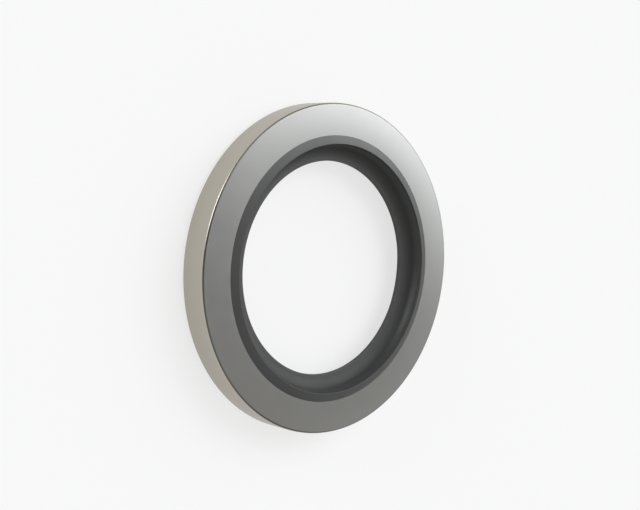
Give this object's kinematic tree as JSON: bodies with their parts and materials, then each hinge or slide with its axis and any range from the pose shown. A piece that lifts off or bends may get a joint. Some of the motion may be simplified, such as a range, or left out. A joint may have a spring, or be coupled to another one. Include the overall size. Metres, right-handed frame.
{
  "type": "bonded seal",
  "caption": "Flat metal ring with a rubber lip seal bonded inside it, which seals under a bolt head or a fitting's flange.",
  "frame": {"origin": "on the bore's axis, at the surface that the lower sealing lip rests on", "axes": "+Z along the bore's axis, upwards from the surface; every direction around it is alike"},
  "size_m": [0.016, 0.016, 0.0018],
  "materials": {
    "metal_ring": "satin",
    "rubber_seal": "satin"
  },
  "bodies": {
    "root": {"metal_ring": "metal_ring", "rubber_seal": "rubber_seal"}
  },
  "joints": []
}
